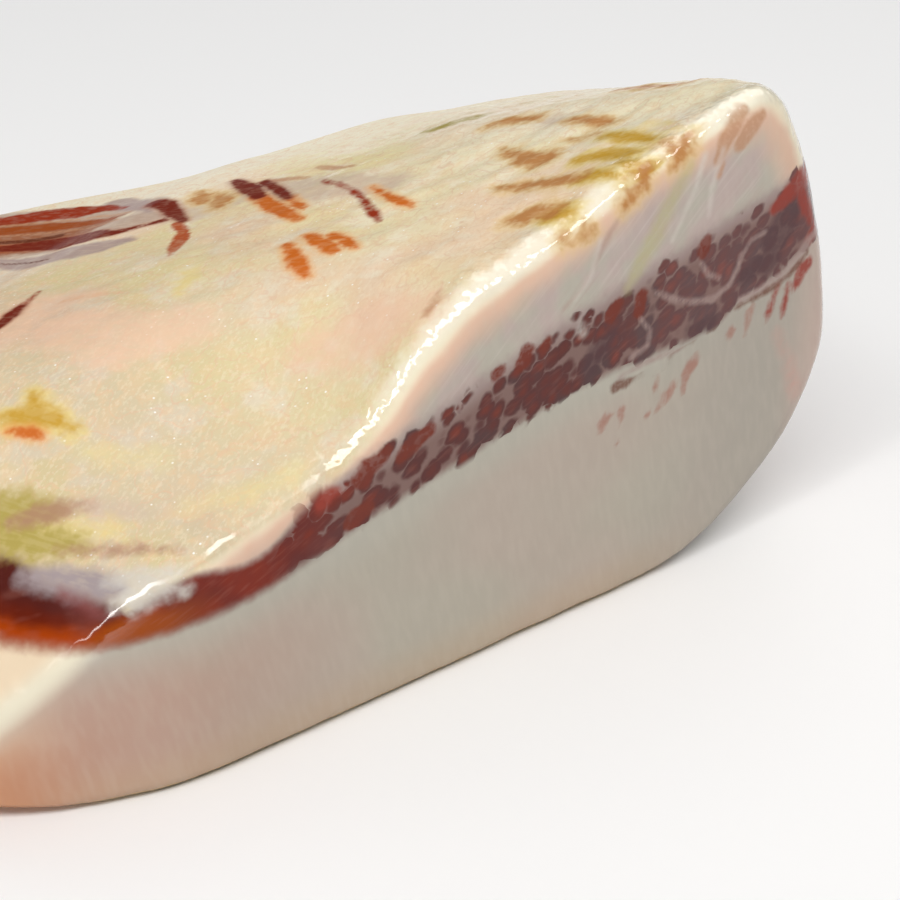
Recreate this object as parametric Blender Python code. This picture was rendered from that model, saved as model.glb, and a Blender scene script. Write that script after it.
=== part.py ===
"""A raw pork jowl: a thick slab of fat lying on its skin side, with one layer of lean running through it.

The slab is described by a few named surfaces: a flat underside, a cut front face, a top that falls
towards the back and the left, and rounded ends. A block is laid on the soft intersection of these
surfaces, and three cutters split it into the outer fat, the lean layer and the inner fat.

Sizes are in millimetres. Here u runs along the front face from the left end, v runs back from the
front face, and w is the height above the table.
"""

import bmesh
import bpy
import numpy as np

METRE = 0.001
NAME = "pork_jowl"

# Top surface
RIDGE_HEIGHT = 69.6
RIDGE_MARK = 115.0
RISE_ALONG = 0.30
FALL_BACK = 0.31
TWIST_LEFT = 0.0024
TWIST_RIGHT = 0.0016
TWIST_REACH = 30.0
CROWN_FROM = 135.0
CROWN_TURN = 1.25
CROWN_BEND = 6.0
TOP_COSINE = 0.93

# Roundness of the ridge between top and front face, at some places along it
RIDGE_PLACES = (30.0, 60.0, 100.0, 125.0)
RIDGE_BLENDS = (2.5, 6.5, 6.5, 5.0)

# Dip of the top behind the near left corner, and the slack fold beside it
DIP_DEPTH = 12.8
DIP_FROM = 85.0
DIP_TO = 60.0
DIP_REACH = 26.0
FOLD_DEPTH = 2.5
FOLD_MARK = 88.0
FOLD_WIDTH = 14.0

# Two sloping cuts at the left end: a place (u, v), the height there, and the slopes along u and v
CORNER_MARK = (25.0, 4.6)
CORNER_HEIGHT = 24.0
CORNER_SLOPES = (1.06, 0.47)
CORNER_BLEND = 2.0
SAG_MARK = (33.0, 4.0)
SAG_HEIGHT = 31.0
SAG_SLOPES = (0.60, 0.25)
SAG_BLEND = 4.0

# Sloping cut at the far left, which rises along its heading and steepens after some way
BACK_CUT_MARK = (73.0, 130.0)
BACK_CUT_HEADING = (0.41, -0.91)
BACK_CUT_HEIGHT = 28.5
BACK_CUT_SLOPE = 0.17
BACK_CUT_WIDTH = 32.0
BACK_CUT_RISE = 0.9
BACK_CUT_BEND = 6.0
BACK_CUT_COSINE = 0.90
BACK_CUT_BLEND = 6.0

# Outline seen from above
BACK_POINT = (73.0, 129.0)
BACK_SLANT = 0.40
BACK_TILT = 0.08
BACK_TILT_FROM = 12.0
BACK_ROUNDNESS = 22.0
CORNER_FROM = 44.0
CORNER_RADIUS = 50.0
LEFT_ROUNDNESS = 30.0
END_BULGE = 151.0
END_SLANT = 0.33
END_SLANT_REACH = 60.0
END_COSINE = 0.9

# Rounded right end seen from the front
BULGE_HEIGHT = 31.0
UNDERCUT = 36.0
UNDERCUT_POWER = 1.75
LEAN_IN = 12.5
LEAN_IN_HEIGHT = 37.0
LEAN_IN_POWER = 1.7

# Rounding of the upper edges and of the foot, and the slight waviness of soft fat
EDGE_BLEND = 6.0
FOOT_BLEND = 2.5
LONG_WAVE = 0.35
LONG_WAVE_SIZES = (11.0, 17.0)
SHORT_WAVE = 0.30
SHORT_WAVE_SIZES = (-23.0, 8.5, 9.0)

# Lean layer
LEAN_HEIGHT = 24.2
LEAN_RISE = 0.25
LEAN_RISE_FROM = 45.0
LEAN_RISE_BEND = 8.0
LEAN_EASING = 0.09
LEAN_EASING_FROM = 95.0
LEAN_EASING_BEND = 14.0
LEAN_THICKNESS = 6.4
LEAN_GROWTH = 0.077
LEAN_GROWTH_FROM = 30.0
LEAN_FADE_DEPTH = 125.0
LEAN_FALL_BACK = 0.03
LEAN_THINNING = 0.0025
GAP = 0.3

# Faceting
CELLS_ALONG = 28
CELLS_BACK = 24
CELLS_UP = 9
CUTTER_CELLS_ALONG = 18
CUTTER_CELLS_BACK = 14
MIDDLE = np.array((80.0, 62.0, 20.0))
BLOCK_INSET = 3.0
CUTTER_START = (-12.0, -12.0)
CUTTER_END = (184.0, 162.0)
CUTTER_FLOOR = -15.0
CUTTER_ROOF = 95.0
RAY_REACH = 4.0
HALVINGS = 30


def soft_min(a, b, blend):
    """The smaller of two distances, rounded off where they are nearly the same."""
    near = np.maximum(blend - np.abs(a - b), 0.0) / blend
    return np.minimum(a, b) - near * near * blend / 4.0


def ramp(x, width):
    """Nought below zero and x above it, with a bend of the given width."""
    return (x + np.sqrt(x * x + width * width)) / 2.0


def smooth_step(start, end, x):
    part = np.clip((x - start) / (end - start), 0.0, 1.0)
    return part * part * (3.0 - 2.0 * part)


def unevenness(u, v, w):
    """The slight waviness of soft fat."""
    long_phase = u / LONG_WAVE_SIZES[0] + v / LONG_WAVE_SIZES[1]
    short_phase = u / SHORT_WAVE_SIZES[0] + v / SHORT_WAVE_SIZES[1] + w / SHORT_WAVE_SIZES[2]
    return LONG_WAVE * np.sin(long_phase) + SHORT_WAVE * np.sin(short_phase)


def top_height(u, v):
    """Height of the top face, before its edges are cut and rounded."""
    along = u - RIDGE_MARK
    crowned = along - CROWN_TURN * ramp(u - CROWN_FROM, CROWN_BEND)
    twist = TWIST_LEFT * np.minimum(along, 0.0) + TWIST_RIGHT * np.clip(along, 0.0, TWIST_REACH)
    face = RIDGE_HEIGHT + RISE_ALONG * crowned - FALL_BACK * v - twist * v
    dip = DIP_DEPTH * smooth_step(DIP_FROM, DIP_TO, u)
    fold = FOLD_DEPTH * np.exp(-((u - FOLD_MARK) / FOLD_WIDTH) ** 2)
    return face - (dip + fold) * np.exp(-(v / DIP_REACH) ** 2)


def end_profile(w):
    """How far the right end reaches at each height: curled in below, leaning in above."""
    low = np.clip((BULGE_HEIGHT - w) / BULGE_HEIGHT, 0.0, 1.0)
    curl = UNDERCUT * (1.0 - (1.0 - low ** UNDERCUT_POWER) ** (1.0 / UNDERCUT_POWER))
    high = np.maximum(w - BULGE_HEIGHT, 0.0) / LEAN_IN_HEIGHT
    return END_BULGE - curl - LEAN_IN * high ** LEAN_IN_POWER


def plane_depth(u, v, w, mark, height, slopes):
    """Depth below a sloping plane that has the given height over its mark."""
    plane = height + slopes[0] * (u - mark[0]) + slopes[1] * (v - mark[1])
    return (plane - w) / np.sqrt(1.0 + slopes[0] ** 2 + slopes[1] ** 2)


def back_cut_depth(u, v, w):
    """Depth below the sloping cut at the far left."""
    inward = BACK_CUT_HEADING[0] * (u - BACK_CUT_MARK[0]) + BACK_CUT_HEADING[1] * (v - BACK_CUT_MARK[1])
    rise = BACK_CUT_SLOPE * inward + BACK_CUT_RISE * ramp(inward - BACK_CUT_WIDTH, BACK_CUT_BEND)
    return BACK_CUT_COSINE * (BACK_CUT_HEIGHT + rise - w)


def top_depth(u, v, w):
    """Depth below the top face and the sloping cuts round the left end."""
    depth = TOP_COSINE * (top_height(u, v) - w)
    depth = soft_min(depth, plane_depth(u, v, w, SAG_MARK, SAG_HEIGHT, SAG_SLOPES), SAG_BLEND)
    depth = soft_min(depth, back_cut_depth(u, v, w), BACK_CUT_BLEND)
    return soft_min(depth, plane_depth(u, v, w, CORNER_MARK, CORNER_HEIGHT, CORNER_SLOPES), CORNER_BLEND)


def side_depth(u, v, w):
    """Depth inside the left end, the back and the right end."""
    right = END_COSINE * (end_profile(w) + END_SLANT * np.minimum(v, END_SLANT_REACH) - u)
    back = (BACK_SLANT * (BACK_POINT[0] - u) + BACK_POINT[1] - v) / np.hypot(BACK_SLANT, 1.0)
    back = back - BACK_TILT * np.maximum(w - BACK_TILT_FROM, 0.0)
    return soft_min(soft_min(right, back, BACK_ROUNDNESS), u, LEFT_ROUNDNESS)


def slab_depth(u, v, w):
    """Depth inside the whole slab: positive inside, nought on its surface."""
    corner = np.maximum(CORNER_FROM - u, 0.0) ** 2 / (2.0 * CORNER_RADIUS)
    ridge = np.interp(u, RIDGE_PLACES, RIDGE_BLENDS)
    depth = soft_min(top_depth(u, v, w), side_depth(u, v, w), EDGE_BLEND)
    depth = soft_min(depth + unevenness(u, v, w), v - corner, ridge)
    return soft_min(depth, w, FOOT_BLEND)


def lean_bottom(u, v):
    fade = 1.0 - smooth_step(0.0, LEAN_FADE_DEPTH, v)
    rise = LEAN_RISE * ramp(u - LEAN_RISE_FROM, LEAN_RISE_BEND)
    rise = rise - LEAN_EASING * ramp(u - LEAN_EASING_FROM, LEAN_EASING_BEND)
    return LEAN_HEIGHT + rise * fade - LEAN_FALL_BACK * v


def lean_top(u, v):
    thickness = LEAN_THICKNESS + LEAN_GROWTH * (u - LEAN_GROWTH_FROM)
    return lean_bottom(u, v) + thickness * (1.0 - LEAN_THINNING * v)


def gridded_block(cells):
    """A closed unit block whose faces are divided into cells along x, y and z."""
    form = bmesh.new()
    bmesh.ops.create_cube(form, size=1.0)
    for axis, count in enumerate(cells):
        edges = [
            edge for edge in form.edges
            if abs(edge.verts[0].co[axis] - edge.verts[1].co[axis]) > 0.5
        ]
        bmesh.ops.subdivide_edges(form, edges=edges, cuts=count - 1, use_grid_fill=True)
    return form


def finish_mesh(form, points, name):
    """Puts the block's corners at the given points, in millimetres, and makes the mesh."""
    for vert, point in zip(form.verts, points):
        vert.co = point * METRE
    bmesh.ops.recalc_face_normals(form, faces=form.faces)
    mesh = bpy.data.meshes.new(name)
    form.to_mesh(mesh)
    form.free()
    return mesh


def on_surface(points):
    """Moves points along their rays from the slab's middle until they lie on its surface."""
    rays = points - MIDDLE
    near = np.zeros(len(points))
    far = np.full(len(points), RAY_REACH)
    for _ in range(HALVINGS):
        half = (near + far) / 2.0
        spot = MIDDLE + rays * half[:, None]
        inside = slab_depth(spot[:, 0], spot[:, 1], spot[:, 2]) > 0.0
        near = np.where(inside, half, near)
        far = np.where(inside, far, half)
    return MIDDLE + rays * near[:, None]


def slab_mesh():
    """The whole slab: a block bent close to the slab's shape, then laid on its surface."""
    form = gridded_block((CELLS_ALONG, CELLS_BACK, CELLS_UP))
    unit = np.array([vert.co for vert in form.verts]) + 0.5
    slant = END_SLANT * END_SLANT_REACH * unit[:, 1]
    u = (END_BULGE - LEAN_IN + slant) * unit[:, 0]
    back = BACK_POINT[1] + BACK_SLANT * (BACK_POINT[0] - u)
    v = BLOCK_INSET + (back - 2.0 * BLOCK_INSET) * unit[:, 1]
    w = BLOCK_INSET + (top_height(u, v) - 2.0 * BLOCK_INSET) * unit[:, 2]
    u = BLOCK_INSET + (end_profile(w) + slant - 2.0 * BLOCK_INSET) * unit[:, 0]
    return finish_mesh(form, on_surface(np.stack((u, v, w), axis=1)), "slab")


def sheet_mesh(name, low, high):
    """A closed curved sheet that reaches past the slab, between two heights."""
    form = gridded_block((CUTTER_CELLS_ALONG, CUTTER_CELLS_BACK, 1))
    unit = np.array([vert.co for vert in form.verts]) + 0.5
    u = CUTTER_START[0] + (CUTTER_END[0] - CUTTER_START[0]) * unit[:, 0]
    v = CUTTER_START[1] + (CUTTER_END[1] - CUTTER_START[1]) * unit[:, 1]
    w = np.where(unit[:, 2] > 0.5, high(u, v), low(u, v))
    return finish_mesh(form, np.stack((u, v, w), axis=1), name)


def make_material(name, colour, roughness):
    material = bpy.data.materials.new(name)
    material.use_nodes = True
    shader = material.node_tree.nodes["Principled BSDF"]
    shader.inputs["Base Color"].default_value = (*colour, 1.0)
    shader.inputs["Roughness"].default_value = roughness
    shader.inputs["Metallic"].default_value = 0.0
    return material


def make_collection(name):
    collection = bpy.data.collections.new(name)
    bpy.context.scene.collection.children.link(collection)
    return collection


def add_cutter(collection, name, low, high, shift):
    cutter = bpy.data.objects.new(name, sheet_mesh(name, low, high))
    cutter.location = shift
    cutter.display_type = "WIRE"
    cutter.hide_render = True
    collection.objects.link(cutter)
    return cutter


def add_layer(collection, name, slab, cutter, shift, material):
    """One layer of the slab: what the slab and the layer's curved sheet share."""
    mesh = slab.copy()
    mesh.name = name
    mesh.materials.append(material)
    mesh.shade_smooth()
    layer = bpy.data.objects.new(name, mesh)
    layer.location = shift
    collection.objects.link(layer)
    cut = layer.modifiers.new("layer", "BOOLEAN")
    cut.operation = "INTERSECT"
    cut.solver = "EXACT"
    cut.object = cutter


def box_centre_shift(mesh):
    """The move that brings the middle of the slab's underside to the origin."""
    points = np.array([vert.co for vert in mesh.vertices])
    low = points.min(axis=0)
    high = points.max(axis=0)
    return (-(low[0] + high[0]) / 2.0, -(low[1] + high[1]) / 2.0, -low[2])


def main():
    for old in list(bpy.data.objects):
        bpy.data.objects.remove(old, do_unlink=True)
    parts = make_collection(NAME)
    cutters = make_collection("cutters")
    slab = slab_mesh()
    shift = box_centre_shift(slab)
    half_gap = GAP / 2.0
    layers = (
        (
            "outer_fat", (0.80, 0.66, 0.56), 0.35,
            lambda u, v: np.full_like(u, CUTTER_FLOOR),
            lambda u, v: lean_bottom(u, v) - half_gap,
        ),
        (
            "lean_layer", (0.34, 0.07, 0.05), 0.30,
            lambda u, v: lean_bottom(u, v) + half_gap,
            lambda u, v: lean_top(u, v) - half_gap,
        ),
        (
            "inner_fat", (0.86, 0.76, 0.58), 0.28,
            lambda u, v: lean_top(u, v) + half_gap,
            lambda u, v: np.full_like(u, CUTTER_ROOF),
        ),
    )
    for name, colour, roughness, low, high in layers:
        cutter = add_cutter(cutters, name + "_sheet", low, high, shift)
        add_layer(parts, name, slab, cutter, shift, make_material(name, colour, roughness))
    bpy.data.meshes.remove(slab)


main()
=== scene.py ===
import math

import bpy
import numpy as np
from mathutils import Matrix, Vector


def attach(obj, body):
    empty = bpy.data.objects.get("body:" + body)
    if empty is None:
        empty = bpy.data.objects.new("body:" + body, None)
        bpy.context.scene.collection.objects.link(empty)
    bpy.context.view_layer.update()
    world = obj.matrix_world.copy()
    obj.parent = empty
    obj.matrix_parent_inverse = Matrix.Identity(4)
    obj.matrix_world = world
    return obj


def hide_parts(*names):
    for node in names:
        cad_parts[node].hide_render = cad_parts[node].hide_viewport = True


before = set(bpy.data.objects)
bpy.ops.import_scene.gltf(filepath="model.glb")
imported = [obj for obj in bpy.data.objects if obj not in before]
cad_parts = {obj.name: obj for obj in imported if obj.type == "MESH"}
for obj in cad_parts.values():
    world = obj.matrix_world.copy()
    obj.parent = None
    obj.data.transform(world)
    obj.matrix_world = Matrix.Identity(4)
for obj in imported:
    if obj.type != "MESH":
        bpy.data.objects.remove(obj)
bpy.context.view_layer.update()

# A raw pork jowl lying on its skin side. The slab is one closed skin of fine quads, laid on the same named
# surfaces as the solids. What lies where is worked out for each point of that skin, and the material turns
# it into colour and gloss. u runs along the front face, v back from it, w upwards, all in millimetres.

METRE = 0.001

# Top surface
RIDGE_HEIGHT = 69.6
RIDGE_MARK = 115.0
RISE_ALONG = 0.3
FALL_BACK = 0.31
TWIST_LEFT = 0.0024
TWIST_RIGHT = 0.0016
TWIST_REACH = 30.0
CROWN_FROM = 135.0
CROWN_TURN = 1.25
CROWN_BEND = 6.0
TOP_COSINE = 0.93

# Roundness of the ridge between top and front face, at places along it
RIDGE_PLACES = (30.0, 60.0, 100.0, 125.0)
RIDGE_BLENDS = (2.5, 6.5, 6.5, 5.0)

# Dip of the top behind the near left corner, and the slack fold beside it
DIP_DEPTH = 12.8
DIP_FROM = 85.0
DIP_TO = 60.0
DIP_REACH = 26.0
FOLD_DEPTH = 2.5
FOLD_MARK = 88.0
FOLD_WIDTH = 14.0

# Two sloping cuts at the left end: a place (u, v), the height there, and the slopes along u and v
CORNER_MARK = (25.0, 4.6)
CORNER_HEIGHT = 24.0
CORNER_SLOPES = (1.06, 0.47)
CORNER_BLEND = 2.0
SAG_MARK = (33.0, 4.0)
SAG_HEIGHT = 31.0
SAG_SLOPES = (0.6, 0.25)
SAG_BLEND = 4.0

# Sloping cut at the far left, which rises along its heading and steepens on its way
BACK_CUT_MARK = (73.0, 130.0)
BACK_CUT_HEADING = (0.41, -0.91)
BACK_CUT_HEIGHT = 28.5
BACK_CUT_SLOPE = 0.17
BACK_CUT_WIDTH = 32.0
BACK_CUT_RISE = 0.9
BACK_CUT_BEND = 6.0
BACK_CUT_COSINE = 0.9
BACK_CUT_BLEND = 6.0

# Outline seen from above
BACK_POINT = (73.0, 129.0)
BACK_SLANT = 0.4
BACK_TILT = 0.08
BACK_TILT_FROM = 12.0
BACK_ROUNDNESS = 22.0
CORNER_FROM = 44.0
CORNER_RADIUS = 50.0
LEFT_ROUNDNESS = 30.0
END_BULGE = 151.0
END_SLANT = 0.33
END_SLANT_REACH = 60.0
END_COSINE = 0.9

# Rounded right end seen from the front
BULGE_HEIGHT = 31.0
UNDERCUT = 36.0
UNDERCUT_POWER = 1.75
LEAN_IN = 12.5
LEAN_IN_HEIGHT = 37.0
LEAN_IN_POWER = 1.7

# Rounding of the upper edges and of the foot, and the slight waviness of soft fat
EDGE_BLEND = 6.0
FOOT_BLEND = 2.5
LONG_WAVE = 0.35
LONG_WAVE_SIZES = (11.0, 17.0)
SHORT_WAVE = 0.3
SHORT_WAVE_SIZES = (-23.0, 8.5, 9.0)

# Lean layer
LEAN_HEIGHT = 24.2
LEAN_RISE = 0.25
LEAN_RISE_FROM = 45.0
LEAN_RISE_BEND = 8.0
LEAN_EASING = 0.09
LEAN_EASING_FROM = 95.0
LEAN_EASING_BEND = 14.0
LEAN_THICKNESS = 6.4
LEAN_GROWTH = 0.077
LEAN_GROWTH_FROM = 30.0
LEAN_FADE_DEPTH = 125.0
LEAN_FALL_BACK = 0.03
LEAN_THINNING = 0.0025

# Fineness of the skin: rows are packed where the lean shows and along the ridge
CELLS_ALONG = 250
CELLS_BACK = 110
ROWS_BELOW = 18
ROWS_LEAN = 50
ROWS_ABOVE = 16
LEAN_ROWS_FROM = 0.56
LEAN_ROWS_TO = 0.9
RIM_CELLS = 6
MIDDLE = np.array((80.0, 62.0, 20.0))
BLOCK_INSET = 3.0
RAY_REACH = 4.0
HALVINGS = 30

# Bundles of the lean: long and wide seen end on, drawn out along the slab's depth, and leaning
BUNDLE_LONG = 2.9
BUNDLE_WIDE = 1.9
BUNDLE_DEEP = 14.0
BUNDLE_LEAN = math.radians(40.0)

# Lean of the film's threads on the upper front face
FILM_LEAN = math.radians(42.0)

# Leaning of a normal from which the skin starts, and fully does, count as top, front face and left end,
# and the places (u) between which the left end starts
TOP_TURN = (0.3, 0.62)
FRONT_TURN = (0.45, 0.85)
END_TURN = (0.35, 0.65)
END_ALONG = (40.0, 30.0)

# Fine relief: its waves, its heights on the top and elsewhere, and where and how far it calms down
WAVES = 26
WAVE_SPREAD = (0.7, 1.4)
WAVE_PEAK = 1.6
LOBULE_SIZE = 5.0
SWELL_SIZE = 15.0
PEBBLE_SIZE = 2.6
TOP_LOBULES = 0.08
TOP_SWELL = 0.2
TOP_PEBBLES = 0.04
SIDE_LOBULES = 0.05
SIDE_SWELL = 0.12
CALM_BACK = (95.0, 45.0)
CALM_RELIEF = 0.04
FRONT_CALM = 0.4
ON_FLOOR = 0.01

# Camera: its place beside the slab, and its nearest view in metres
CAMERA_PLACE = (-45.4, -161.9, 153.0)
CAMERA_HEADING = math.radians(37.25)
CAMERA_FALL = math.radians(30.0)
CAMERA_LENS = 72.0
CAMERA_CLIP = 0.01

# Studio, in metres and watts. Lights: name, direction, distance, both sides, power and colour
LIGHTS = (
    ("key", (-0.272, -0.42, 0.866), 2.0, (2.5, 0.7), 32.5, (1.0, 0.98, 0.96)),
    ("above", (0.6, 0.3, 0.75), 2.4, (2.0, 2.0), 14.0, (1.0, 0.98, 0.96)),
    ("left", (-0.781, -0.209, 0.588), 1.1, (0.08, 0.9), 1.7, (1.0, 0.97, 0.94)),
)
WORLD_CLIMB = (0.3, 0.9)
WORLD_LOW = (0.1, 0.105, 0.11)
WORLD_HIGH = (0.94, 0.97, 1.0)
WORLD_STRENGTH = 0.4
FLOOR_SIZE = 6.0
FLOOR_GAP = 0.0002
FLOOR_COLOUR = (0.9, 0.9, 0.9)
FLOOR_ROUGHNESS = 0.6

# Sizes of the three noises that most colours wander with
BROAD_SIZE = 24.0
MIDDLING_SIZE = 7.0
FINE_SIZE = 2.2

# Fat of the top, a painted highlight along its ridge, and the painted shade that darkens it towards the left
TOP_CREAM = (0.85, 0.745, 0.48)
TOP_PEACH = (0.88, 0.675, 0.48)
TOP_YELLOW = (0.86, 0.755, 0.415)
TOP_PALE = (0.89, 0.8, 0.61)
TOP_BACK = (0.9, 0.86, 0.69)
TOP_RIGHT = (0.94, 0.88, 0.69)
TOP_CREASE = (0.74, 0.5, 0.31)
TOP_VEIN = (0.76, 0.48, 0.32)
TOP_ORANGE = (0.84, 0.58, 0.34)
GRAIN_LIGHT = (0.91, 0.82, 0.64)
GRAIN_DARK = (0.72, 0.52, 0.32)
# Painted highlight: a pale band along the upper side of the ridge
RIDGE_PAINTED_HIGHLIGHT = (0.96, 0.91, 0.75)
# Painted shade: factors that darken the top's colour towards the left
LEFT_PAINTED_SHADE = (0.77, 0.732, 0.755)

# Fat of the front face, the left end with a painted highlight along its near edge, and the rind
FRONT_GREY = (0.5, 0.455, 0.375)
FRONT_ROSY = (0.52, 0.44, 0.37)
FRONT_UNDER_LEAN = (0.515, 0.485, 0.41)
FRONT_WARM = (0.53, 0.35, 0.275)
FRONT_FOOT = (0.56, 0.4, 0.26)
FRONT_SALMON = (0.56, 0.26, 0.15)
FRONT_RIGHT = (0.455, 0.41, 0.35)
FRONT_END = (0.62, 0.47, 0.4)
FRONT_PINK = (0.565, 0.455, 0.415)
FRONT_CREAM = (0.535, 0.495, 0.415)
THREAD_LIGHT = (0.74, 0.67, 0.61)
THREAD_DARK = (0.5, 0.34, 0.29)
RIDGE_PEACH = (0.81, 0.545, 0.4)
RIDGE_LIGHT = (0.95, 0.84, 0.62)
STRANDS = (0.74, 0.68, 0.58)
END_CREAM = (0.83, 0.67, 0.48)
END_SALMON = (0.59, 0.26, 0.125)
# Painted highlight along the left end's near edge
END_EDGE_HIGHLIGHT = (0.82, 0.8, 0.65)
RIND = (0.5, 0.36, 0.18)

# Lean where it is cut, where its layer comes to the surface, and in the gaps between its bundles
LEAN_CORE = (0.21, 0.04, 0.025)
LEAN_DARK_CORE = (0.135, 0.034, 0.027)
LEAN_RIM = (0.115, 0.036, 0.033)
LEAN_PURPLE = (0.095, 0.048, 0.048)
LEAN_LEFT = (0.26, 0.022, 0.004)
LEAN_DARK_LEFT = (0.17, 0.014, 0.006)
LEAN_GREY = (0.24, 0.15, 0.15)
LEAN_FOOT = (0.355, 0.066, 0.003)
LEAN_STREAK = (0.42, 0.16, 0.12)
BARE_FOOT = (0.37, 0.046, 0.0)
BARE_MIDDLE = (0.13, 0.013, 0.003)
BARE_TOP = (0.085, 0.012, 0.008)
GAP_LIGHT = (0.39, 0.28, 0.26)
GAP_DARK = (0.2, 0.09, 0.08)

# Wetness from 0 to 1: least and most along the ridge, front and back of the top, at the left, on the cuts
RIDGE_WETNESS = (0.12, 1.0)
TOP_WETNESS = (0.5, 0.14)
LEFT_WETNESS = 0.12
CUT_WETNESS = 0.16

# Wet film and the flesh under it
FILM_DEPTH = 0.09
FILM_ROUGHNESS = 0.1
FILM_IOR = 1.8
FLESH_ROUGHNESS = 0.5
FLESH_SHINE = 0.05

# Painted glints of moisture: tiny white specks painted into the colour, their spacing and the size of their
# clusters
GLINT = (0.98, 0.97, 0.93)
GLINT_SPACING = 1.1
GLINT_CLUSTERS = 9.0

# The pale top reaches down over the lean on the far side of this line, seen from above
COVER_LINE = ((30.2, 3.2), (25.6, 14.0), (24.8, 21.5))
COVER_EDGE = (-0.6, 1.4)
COVER_BACK = (90.0, 70.0)
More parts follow.
